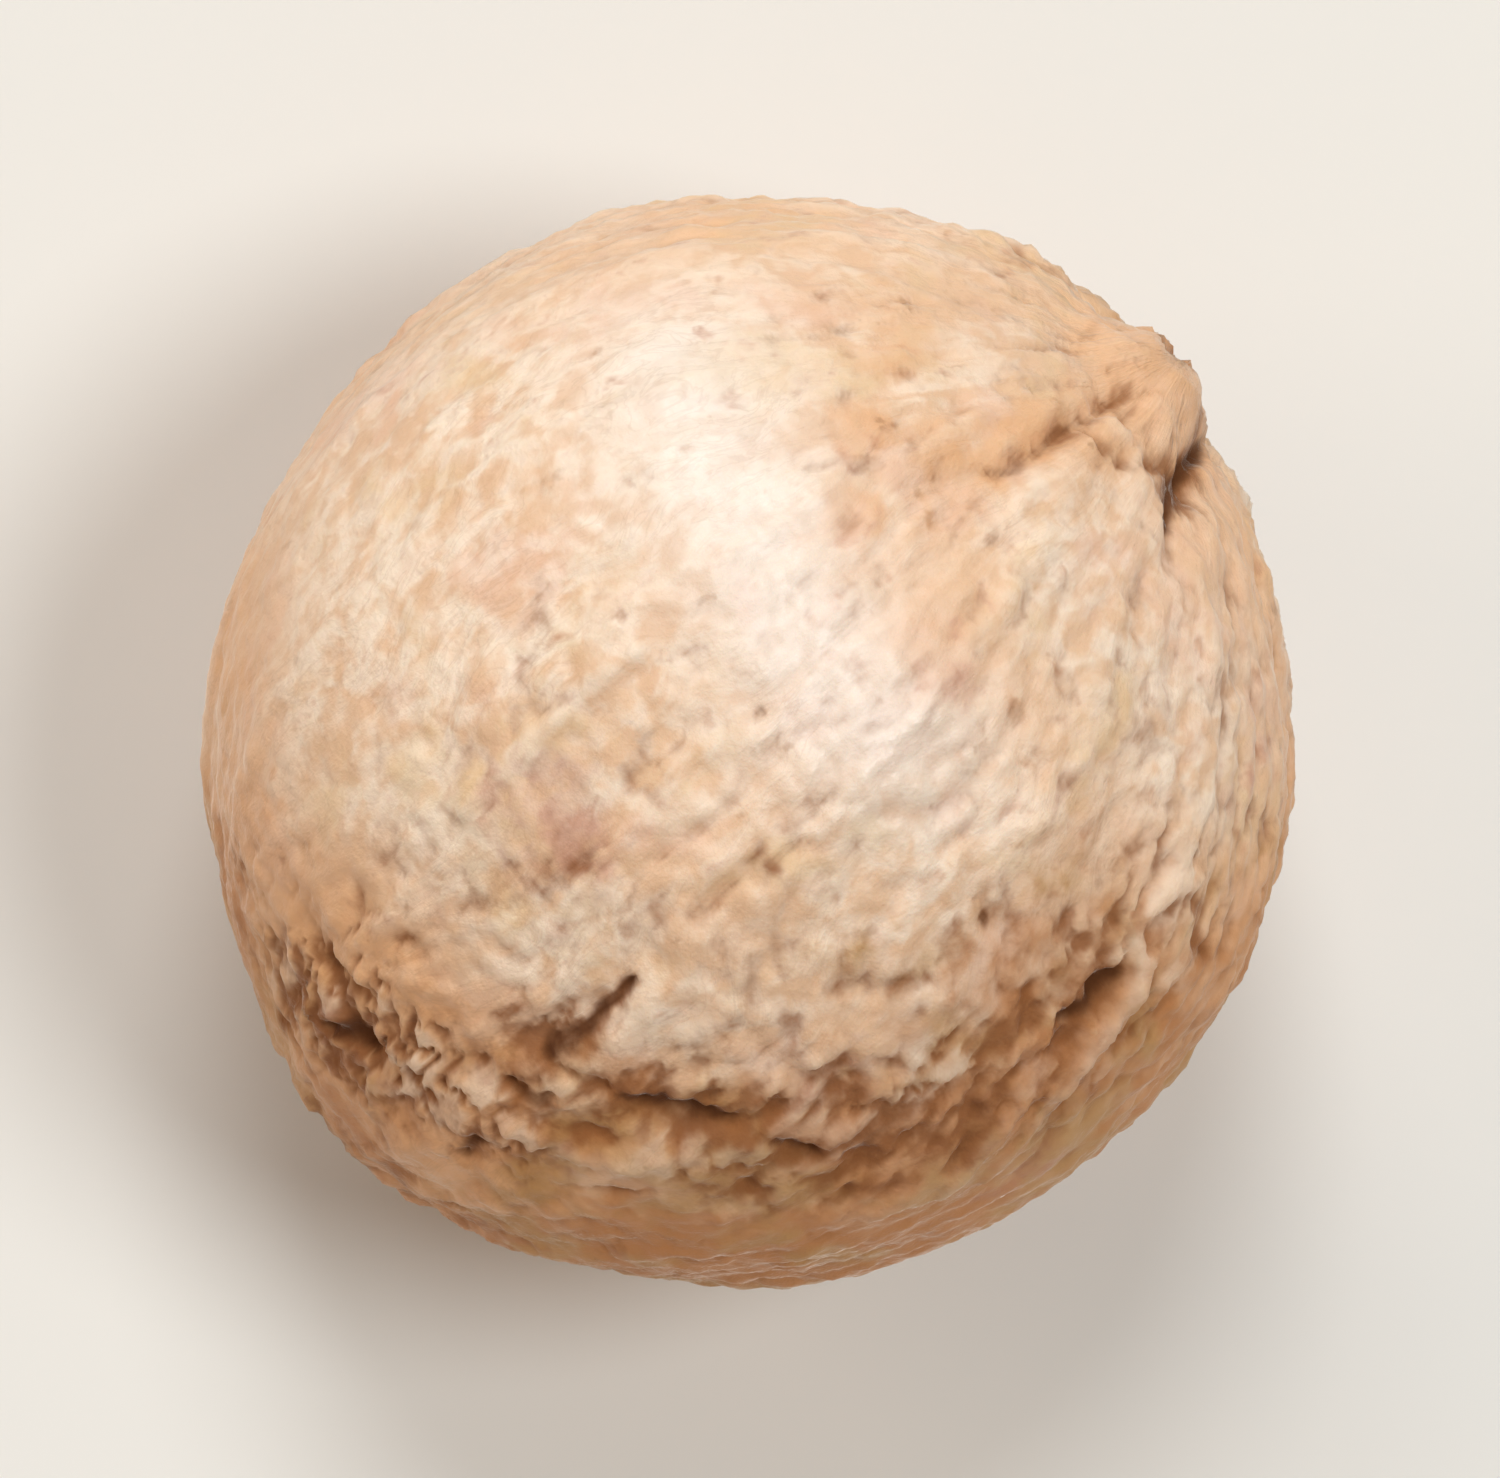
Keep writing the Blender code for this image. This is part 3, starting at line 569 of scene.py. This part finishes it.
def crumple(surface):
    # Folds that lean one way on the one part of a band, and the other way on the rest
    look = relief["crumple"]
    sway = look["warp"] * surface.warp
    shaken = np.stack([sway, look["speck"] * surface.speck, -sway], axis=-1)
    shaken += look["jitter"] * surface.jitter[:, None]
    first, second = (surface.stretched(look, lean) + shaken for lean in look["leans"])
    share = smoothStep(*look["leanEdge"], noiseAt(surface.points, *look["lean"]))
    run = np.abs(noiseAt(first, *look["firstRun"])) * share
    run += np.abs(noiseAt(second, *look["secondRun"])) * (1 - share)
    surface.ridges = smoothStep(*look["ridge"], run)
    surface.lumpy = noiseAt(first, *look["lumpy"])
    surface.fineFolds = noiseAt(second, *look["fine"])
    surface.opened = smoothStep(*look["openEdge"], noiseAt(surface.points, *look["opened"]))
    surface.creases = bell(run, look["line"]) * surface.opened


def reliefHeight(surface):
    # The height in mm that the fine relief adds
    crumpled, radial, nubRough = relief["crumple"], relief["radialFolds"], relief["nubRough"]
    lumps, dimples, grain = (relief[name] for name in ("lumps", "dimples", "grain"))
    wrinkles, web, hatch = (relief[name] for name in ("wrinkles", "web", "hatch"))
    polar, speck = surface.polar, surface.speck

    def shown(layer):
        return layer["least"] + (1 - layer["least"]) * surface.rough

    height = lumps["height"] * surface.lumps * shown(lumps)
    height += dimples["height"] * surface.dimples * shown(dimples)
    height += grain["height"] * surface.grain * shown(grain)
    height -= wrinkles["depth"] * (surface.wrinkles - wrinkles["middle"]) * surface.ring * shown(wrinkles)
    height -= web["depth"] * (surface.web - web["middle"]) * shown(web) * smoothStep(*web["tip"], polar)
    height *= 1 + relief["hidden"]["gain"] * surface.hidden
    folds = crumpled["foldHeight"] * (surface.ridges - crumpled["foldMiddle"])
    folds += crumpled["height"] * surface.lumpy + crumpled["fineHeight"] * surface.fineFolds
    height += surface.band * (folds - crumpled["creaseDepth"] * surface.creases)
    height += surface.veins * (1 - relief["veins"]["bandTakes"] * surface.band)
    height -= surface.cracks + surface.pits
    height -= radial["nubDepth"] * surface.nubFolds + radial["scarDepth"] * surface.scarFolds
    blunt = noiseAt(surface.points, *nubRough["noise"]) + nubRough["speck"] * speck
    blunt -= nubRough["dip"] * bell(polar, nubRough["dipWidth"])
    height += nubRough["height"] * surface.nub * blunt + relief["scarRough"] * surface.scar * speck
    height += surface.traced * surface.clear
    height += hatch["height"] * surface.hatching * shown(hatch) * smoothStep(*hatch["tip"], polar)
    return height


def valleyMask(surface):
    # How brown the low places are, partly the skin's own brown and partly painted shade
    edges, speck, band = relief["valleyEdges"], surface.speck, surface.band
    gaps = band * (1 - surface.ridges)
    wrinkles = surface.wrinkles * surface.ring * surface.rough
    hollows = smoothStep(*edges["dimples"], surface.dimples + edges["dimpleSpeck"] * speck)
    valley = weighed(relief["valley"], {
        "gaps": gaps, "openGaps": gaps * surface.opened, "brownGaps": gaps * surface.browned,
        "creases": band * surface.creases, "browned": band * surface.browned,
        "fineFolds": band * smoothStep(*edges["fineFolds"], surface.fineFolds),
        "wrinkles": wrinkles, "brownWrinkles": wrinkles * surface.browned,
        "web": surface.web * surface.rough,
        "hatching": smoothStep(*edges["hatching"], surface.hatching) * surface.rough,
        "nubFolds": surface.nubFolds, "scarFolds": surface.scarFolds, "scar": surface.scar,
        "nubHollows": smoothStep(*edges["nubHollows"], speck) * surface.nub,
        "nubSpot": surface.near(*edges["nubSpot"], edges["nubSpotSpeck"] * speck),
        "pits": surface.pits, "dark": surface.dark, "dimples": surface.mottled * hollows})
    return valley * (1 - edges["paleTakes"] * surface.pale)


def crestMask(surface):
    # How pale the raised places are, partly the skin's own paler ridges and partly painted highlight
    look = relief["crest"]
    crest = look["veins"] * surface.veins * (1 - look["lowerTakes"] * surface.lowerSide)
    lumps = smoothStep(*look["lumps"], surface.lumpy) * (1 - look["brownedTakes"] * surface.browned)
    crest += surface.band * surface.ridges * lumps
    crest += look["dimples"] * surface.mottled * smoothStep(*look["dimpleEdge"], surface.dimples)
    return np.maximum(np.clip(crest, 0, 1) * surface.clear, surface.pale)


def warmMask(surface):
    # How tan the skin is, with painted shade and warm bounced light on the lower side and towards the outline
    edges = relief["warmEdges"]
    nubSide, stemSide = (smoothStep(*edges[name], surface.polar) for name in ("nubSide", "stemSide"))
    warm = weighed(relief["warm"], {
        "all": 1, "nubSide": nubSide, "stemSide": stemSide, "lobes": surface.lobes, "drift": surface.drift,
        "lowerSide": surface.lowerSide, "band": surface.band,
        "shadedOutline": smoothStep(*edges["shadedOutline"], surface.upper)})
    for *spot, strength in relief["warmSpots"]:
        warm = warm + strength * surface.near(*spot)
    return warm + surface.spotted(relief["tans"])


def gingerMask(surface):
    look = relief["ginger"]
    nub = smoothStep(*look["nub"], surface.polar + look["warp"] * surface.warp)
    away = awayFromPath(surface.skin, look["path"])[0] + look["speck"] * surface.speck
    return np.maximum(nub, look["strength"] * smoothStep(*look["pathEdge"], away))


def toastedAndShadedMask(surface):
    look, warp, speck = relief["toastedAndShaded"], surface.warp, surface.speck
    ragged = look["drift"] * surface.drift + look["speck"] * speck + look["warp"] * warp
    # painted shade: browner on the side turned away from the lamps
    side = surface.facing(*look["side"], ragged)
    back = look["back"] * smoothStep(*look["backEdge"], np.abs(surface.around))
    back += look["backWarp"] * surface.hidden * warp
    reach = surface.polar + look["stemWarp"] * warp + look["stemSpeck"] * speck
    stem = look["stem"] * smoothStep(*look["stemEdge"], reach)
    folds = look["folds"] * smoothStep(*look["foldEdge"], surface.lumpy + look["foldSpeck"] * speck)
    folds += look["browned"] * surface.browned
    return np.maximum(np.maximum(side, back), stem) + surface.band * folds


def fineRelief(skin, around, polar):
    # Returns the height in mm to add, the masks that the colours follow, and the run of the fibres
    surface = Surface(skin, around, polar)
    markZones(surface)
    makeLayers(surface)
    crumple(surface)
    surface.veins = veinHeight(around, polar)
    surface.pits = pitDepth(skin, surface.jitter)
    surface.cracks, surface.dark = crackDepth(skin, surface.points, surface.jitter)
    surface.traced, surface.pale = foldHeight(skin, surface.warp, surface.jitter)
    # dark creases cut through folds and pale skin
    crest = relief["crest"]
    surface.clear = 1 - crest["darkTakes"] * smoothStep(*crest["dark"], surface.dark)
    # the deep mask holds toasted skin and painted shade on the side away from the lamps
    masks = {"valley": valleyMask(surface), "crack": surface.dark, "crest": crestMask(surface),
             "stainAndShadow": surface.spotted(relief["stainsAndShadow"]), "warm": warmMask(surface),
             "ginger": gingerMask(surface), "deep": toastedAndShadedMask(surface), "shine": surface.shine}
    return reliefHeight(surface), masks, surface.stretched(relief["fibres"])


def patchSphere(cells):
    # Six square patches blown up to a ball, with one UV square for each
    bm = bmesh.new()
    bmesh.ops.create_cube(bm, size=2.0)
    bmesh.ops.subdivide_edges(bm, edges=bm.edges[:], cuts=cells - 1, use_grid_fill=True)
    uv = bm.loops.layers.uv.new("OFBake")
    margin = corn["uvMargin"]
    for face in bm.faces:
        axis = max(range(3), key=lambda i: abs(face.normal[i]))
        patch = axis * 2 + (face.normal[axis] > 0)
        first, second = [i for i in range(3) if i != axis]
        for loop in face.loops:
            u, v = (margin + (loop.vert.co[i] + 1) / 2 * (1 - 2 * margin) for i in (first, second))
            loop[uv].uv = ((patch % 3 + u) / 3, (patch // 3 + v) / 2)
    for vert in bm.verts:
        vert.co = Vector([math.tan(x * math.pi / 4) for x in vert.co]).normalized()
    return bm


def layDown(skin, base, height):
    # Lays the tip down along +X, with around 0 on the upper side, and presses the foot flat
    rise = math.radians(corn["tipRise"])
    tip = np.array([math.cos(rise), 0, math.sin(rise)])
    upper = np.array([-math.sin(rise), 0, math.cos(rise)])
    lying = skin @ np.stack([upper, np.cross(tip, upper), tip])
    floor = math.sqrt(bodyRadius ** 2 - (corn["foot"] / 2) ** 2)
    reach = floor / np.maximum(-lying[:, 2], -corn["footBelow"])    # where each line meets the foot's plane
    soft = corn["footRounding"]
    radius = base + height * mm
    pressed = -soft * np.logaddexp(-radius / soft, -reach / soft)
    radius = np.where(lying[:, 2] < corn["footBelow"], pressed, radius)
    places = lying * radius[:, None]

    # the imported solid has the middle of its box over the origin
    plain = lying * np.minimum(base, reach)[:, None]
    middle = (plain.min(0) + plain.max(0)) / 2
    places += np.array([-middle[0], -middle[1], floor])
    places[:, 2] = np.maximum(places[:, 2], 0)
    return places


def makeCorn():
    bm = patchSphere(corn["cells"])
    mesh = bpy.data.meshes.new("peppercornSkin")
    bm.to_mesh(mesh)
    bm.free()
    skin = np.empty(len(mesh.vertices) * 3)
    mesh.vertices.foreach_get("co", skin)
    skin = skin.reshape(-1, 3)
    polar = np.degrees(np.arccos(np.clip(skin[:, 2], -1, 1)))
    around = np.degrees(np.arctan2(skin[:, 1], skin[:, 0]))
    height, masks, fibre = fineRelief(skin, around, polar)
    places = layDown(skin, baseRadius(skin, around, polar), height)
    mesh.vertices.foreach_set("co", places.ravel())
    for name, values in masks.items():
        layer = mesh.attributes.new(name, "FLOAT", "POINT")
        layer.data.foreach_set("value", np.clip(values, 0, 1).astype(np.float32))
    layer = mesh.attributes.new("fibre", "FLOAT_VECTOR", "POINT")
    layer.data.foreach_set("vector", fibre.astype(np.float32).ravel())
    mesh.shade_smooth()
    mesh.update()
    piece = bpy.data.objects.new("peppercornSkin", mesh)
    bpy.context.scene.collection.objects.link(piece)
    return piece


class Wire:
    # A socket of a shader node that can be used in sums
    def __init__(self, sheet, socket):
        self.sheet, self.socket = sheet, socket

    def combined(self, operation, first, second):
        return self.sheet.add("ShaderNodeMath", {"operation": operation}, {0: first, 1: second})

    def __add__(self, other):
        return self.combined("ADD", self, other)

    def __sub__(self, other):
        return self.combined("SUBTRACT", self, other)

    def __rsub__(self, other):
        return self.combined("SUBTRACT", other, self)

    def __mul__(self, other):
        return self.combined("MULTIPLY", self, other)

    __radd__, __rmul__ = __add__, __mul__


class NodeSheet:
    def __init__(self, name):
        self.material = bpy.data.materials.new(name)
        self.material.use_nodes = True
        self.tree = self.material.node_tree
        self.shader = self.tree.nodes["Principled BSDF"]

    def put(self, socket, value):
        if isinstance(value, Wire):
            self.tree.links.new(value.socket, socket)
        else:
            socket.default_value = value

    def add(self, kind, settings, sockets, output=0):
        node = self.tree.nodes.new(kind)
        for name, value in settings.items():
            setattr(node, name, value)
        for name, value in sockets.items():
            self.put(node.inputs[name], value)
        return Wire(self, node.outputs[output])

    def noise(self, vector, scale, detail, roughness, distortion):
        return self.add("ShaderNodeTexNoise", {"noise_dimensions": "3D"},
                        {"Vector": vector, "Scale": scale, "Detail": detail, "Roughness": roughness,
                         "Distortion": distortion})

    def mask(self, name, output="Fac"):
        return self.add("ShaderNodeAttribute", {"attribute_name": name}, {}, output)

    def step(self, value, start, end):
        return self.add("ShaderNodeMapRange", {"interpolation_type": "SMOOTHSTEP"},
                        {"Value": value, "From Min": start, "From Max": end})

    def unsigned(self, value):
        return self.add("ShaderNodeMath", {"operation": "ABSOLUTE"}, {0: value})

    def mix(self, factor, first, second):
        return self.add("ShaderNodeMix", {"data_type": "RGBA"}, {0: factor, 6: first, 7: second}, 2)

    def finish(self, sockets):
        for name, value in sockets.items():
            self.put(self.shader.inputs[name], value)


skinLook = {
    "cream": (0.79, 0.50, 0.31, 1), "pale": (0.95, 0.76, 0.59, 1), "tan": (0.77, 0.39, 0.175, 1),
    # milk is the colour of a painted highlight along the sheen's line
    "straw": (0.80, 0.56, 0.30, 1), "pink": (0.84, 0.50, 0.37, 1), "paintedSheen": (0.94, 0.85, 0.77, 1),
    # toast is the brown of toasted skin and of painted shade on the side away from the lamps
    "ginger": (0.82, 0.45, 0.23, 1), "toastAndShade": (0.52, 0.205, 0.062, 1), "brown": (0.30, 0.105, 0.030, 1),
    "umber": (0.11, 0.032, 0.006, 1), "rose": (0.56, 0.25, 0.16, 1), "fleckColour": (0.38, 0.17, 0.07, 1),
    "ochre": (0.50, 0.25, 0.080, 1),
    # noises over the skin, then along its fibres: scale, detail, roughness, distortion
    "noises": {"mottle": (900, 5, 0.6, 0.3), "blotch": (315, 3, 0.5, 0.0), "spots": (6500, 2, 0.5, 0.5),
               "fleck": (5200, 3, 0.6, 0.0), "grain": (14000, 3, 0.65, 0.0), "hue": (1400, 3, 0.55, 0.4),
               "patch": (2600, 3, 0.6, 0.4)},
    "fibreNoises": {"streak": (6.0, 4, 0.6, 0.4), "hair": (10.2, 3, 0.6, 0.8)},
    "noiseMiddle": 0.5,
    "tone": {"mottle": 0.15, "patch": 0.30, "streak": 0.22, "spots": 0.33},
    # each wash of colour: how much the noises fray it, where it starts, where it is full, its strength
    "washes": {
        "pale": ({}, 0.42, 0.58, 1.0),
        "straw": ({}, 0.52, 0.68, 0.45),
        "pink": ({}, 0.48, 0.34, 0.35),
        "tan": ({"blotch": 0.8, "spots": 1.0, "patch": 0.9}, 0.10, 1.05, 0.9),
        "ginger": ({"spots": 1.4}, 0.2, 1.3, 0.8),
        "ochre": ({}, 0.45, 0.58, 1.0),
        "toastAndShade": ({"mottle": 0.5, "patch": 1.1, "spots": 0.8}, 0.1, 1.1, 0.9),
        "raised": ({"spots": 1.0}, 0.05, 1.0, 0.58),
        "rose": ({"hue": 1.2, "spots": 1.8, "streak": 1.6}, 0.15, 1.3, 0.75),
        "hairs": ({}, 0.42, 0.58, 0.14),
        "brown": ({"fleck": 0.9, "spots": 0.7, "streak": 0.4}, 0.20, 1.05, 0.9),
        "umber": ({"fleck": 0.5}, 0.40, 1.0, 0.95),
        "flecks": ({}, 0.66, 0.74, 1.0),
    },
    "hairWidth": 0.05, "paintedSheenStrength": 0.50, "toastAndShadeDims": 0.45, "fleckLeast": 0.12, "fleckWarm": 0.4,
    "roughness": 0.50, "roughnessRange": 0.16, "valleyRough": 0.2, "toastAndShadeRough": 0.2, "crackRough": 0.4,
    "coat": 0.10, "coatWhereSmooth": 0.75, "coatEdge": (0.1, 0.7),
    "grainHeight": 0.010 * mm, "fibreHeight": 0.011 * mm,
    "sockets": {"Specular IOR Level": 0.36, "Coat Roughness": 0.38, "Sheen Weight": 0.45,
                "Sheen Roughness": 0.25, "Sheen Tint": (1.0, 0.90, 0.80, 1), "Subsurface Weight": 0.08,
                "Subsurface Radius": (0.45, 0.25, 0.13), "Subsurface Scale": 0.5 * mm},
}


def skinMaterial():
    look, middle = skinLook, skinLook["noiseMiddle"]
    sheet = NodeSheet("pepperSkin")
    place = sheet.add("ShaderNodeTexCoord", {}, {}, "Object")
    fibres = sheet.mask("fibre", "Vector")
    noises = {name: sheet.noise(place, *settings) for name, settings in look["noises"].items()}
    for name, settings in look["fibreNoises"].items():
        noises[name] = sheet.noise(fibres, *settings)
    hue, streak = noises["hue"], noises["streak"]
    valley, crack, crest, stainAndShadow, warm, ginger, deep, shine = (
        sheet.mask(name) for name in ("valley", "crack", "crest", "stainAndShadow", "warm", "ginger", "deep", "shine"))

    def wash(name, mask):
        # How much of a wash of colour shows: its mask, with frayed edges
        fray, start, full, strength = look["washes"][name]
        for noiseName, share in fray.items():
            mask = mask + (noises[noiseName] - middle) * share
        return sheet.step(mask, start, full) * strength

    colour = sheet.mix(wash("pale", weighed(look["tone"], noises)), look["cream"], look["pale"])
    colour = sheet.mix(wash("straw", hue), colour, look["straw"])
    colour = sheet.mix(wash("pink", hue), colour, look["pink"])
    # tan, partly painted shade and warm bounced light on the lower side and towards the outline
    colour = sheet.mix(wash("tan", warm), colour, look["tan"])
    colour = sheet.mix(wash("ginger", ginger), colour, look["ginger"])
    toastAndShade = sheet.mix(wash("ochre", hue), look["toastAndShade"], look["ochre"])
    # painted shade on the side away from the lamps, and toasted skin at the back, the stem end and between
    # folds
    colour = sheet.mix(wash("toastAndShade", deep), colour, toastAndShade)
    # painted highlight: the colour turns pale and milky along the line where the lamps' sheen falls
    colour = sheet.mix(shine * look["paintedSheenStrength"], colour, look["paintedSheen"])
    # paler raised places, partly painted highlight
    colour = sheet.mix(wash("raised", crest) * (1 - deep * look["toastAndShadeDims"]), colour, look["pale"])
    # rose stains, the one at (73, 40) a painted shadow near the outline
    colour = sheet.mix(wash("rose", stainAndShadow), colour, look["rose"])
    hairs = sheet.step(sheet.unsigned(noises["hair"] - middle), look["hairWidth"], 0.0)
    colour = sheet.mix(hairs * wash("hairs", noises["mottle"]), colour, look["fleckColour"])
    # brown low places and umber creases: partly the skin's own brown, partly painted shade
    colour = sheet.mix(wash("brown", valley), colour, look["brown"])
    colour = sheet.mix(wash("umber", crack), colour, look["umber"])
    flecks = wash("flecks", noises["fleck"]) * (look["fleckLeast"] + warm * look["fleckWarm"])
    colour = sheet.mix(flecks, colour, look["fleckColour"])

    rough = look["roughness"] + (streak - middle) * look["roughnessRange"]
    rough = rough + valley * look["valleyRough"] + deep * look["toastAndShadeRough"] + crack * look["crackRough"]
    coat = look["coat"] + shine * look["coatWhereSmooth"]
    coat = coat * (1 - sheet.step(valley + crack, *look["coatEdge"]))
    coarse = sheet.add("ShaderNodeBump", {}, {"Distance": look["fibreHeight"], "Height": streak})
    fine = sheet.add("ShaderNodeBump", {}, {"Distance": look["grainHeight"], "Height": noises["grain"],
                                            "Normal": coarse})
    sheet.finish({"Base Color": colour, "Roughness": rough, "Coat Weight": coat, "Normal": fine})
    sheet.finish(look["sockets"])
    return sheet.material


studio = {
    "tipTurn": 41.8,              # degrees in the picture from right to the tip
    "viewWidth": 6.95 * mm, "lens": 600, "sensor": 36,
    "clipShare": 0.05, "clipEnd": 10,       # nearest as a share of the camera's distance, farthest in metres
    "floorSize": 4.0,
    "floorLook": {"Base Color": (0.82, 0.775, 0.715, 1), "Roughness": 0.75},
    "world": {"Color": (1.0, 0.96, 0.91, 1), "Strength": 0.19},
    "distance": 0.8,
    # degrees above the floor, degrees in the picture anticlockwise from straight up, size, power, colour
    "lamps": {
        "key": (30, 11, 0.26, 1.2, (0.88, 0.955, 1.0)),
        "crown": (58, -2, 0.26, 2.2, (0.90, 0.960, 1.0)),
        "side": (66, -85, 0.26, 2.9, (0.90, 0.965, 1.0)),
        "left": (30, 72, 0.40, 1.2, (1.0, 0.82, 0.64)),
        "rim": (6, 14, 0.20, 0.35, (0.90, 0.96, 1.0)),
        "fill": (30, 180, 0.60, 0.45, (1.0, 0.74, 0.50)),
    },
}


def makeLight(name, lift, turn, size, power, colour):
    lamp = bpy.data.lights.new(name, "AREA")
    lamp.shape, lamp.size, lamp.energy, lamp.color = "DISK", size, power, colour
    holder = bpy.data.objects.new(name, lamp)
    angle = math.radians(90 + turn - studio["tipTurn"])
    level, height = math.cos(math.radians(lift)), math.sin(math.radians(lift))
    toLamp = Vector((math.cos(angle) * level, math.sin(angle) * level, height))
    holder.location = toLamp * studio["distance"]
    holder.rotation_euler = toLamp.to_track_quat("Z", "Y").to_euler()
    bpy.context.scene.collection.objects.link(holder)


def makeFloor():
    bm = bmesh.new()
    bmesh.ops.create_grid(bm, x_segments=1, y_segments=1, size=studio["floorSize"] / 2)
    mesh = bpy.data.meshes.new("floor")
    bm.to_mesh(mesh)
    bm.free()
    floor = bpy.data.objects.new("floor", mesh)
    bpy.context.scene.collection.objects.link(floor)
    sheet = NodeSheet("paleFloor")
    sheet.finish(studio["floorLook"])
    mesh.materials.append(sheet.material)


def makeCamera():
    lens = bpy.data.cameras.new("camera")
    lens.lens, lens.sensor_width = studio["lens"], studio["sensor"]
    distance = studio["viewWidth"] * studio["lens"] / studio["sensor"]
    lens.clip_start, lens.clip_end = distance * studio["clipShare"], studio["clipEnd"]
    camera = bpy.data.objects.new("camera", lens)
    middle = (cadBox[0] + cadBox[1]) / 2
    turn = math.radians(studio["tipTurn"])
    right = Vector((math.cos(turn), -math.sin(turn), 0))
    up = Vector((math.sin(turn), math.cos(turn), 0))
    back = right.cross(up)
    aim = Matrix((right, up, back)).transposed().to_4x4()
    camera.matrix_world = Matrix.Translation(middle + back * distance) @ aim
    bpy.context.scene.collection.objects.link(camera)
    bpy.context.scene.camera = camera


def makeStudio():
    scene = bpy.context.scene
    world = bpy.data.worlds.new("studio")
    world.use_nodes = True
    for name, value in studio["world"].items():
        world.node_tree.nodes["Background"].inputs[name].default_value = value
    scene.world = world
    scene.view_settings.view_transform = "Standard"
    makeFloor()
    for name, values in studio["lamps"].items():
        makeLight(name, *values)
    makeCamera()


peppercorn = makeCorn()
peppercorn.data.materials.append(skinMaterial())
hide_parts("peppercorn")
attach(peppercorn, "root")
print("corn:", len(peppercorn.data.polygons) * 2, "triangles")

makeStudio()
print("studio: floor, lights and camera")
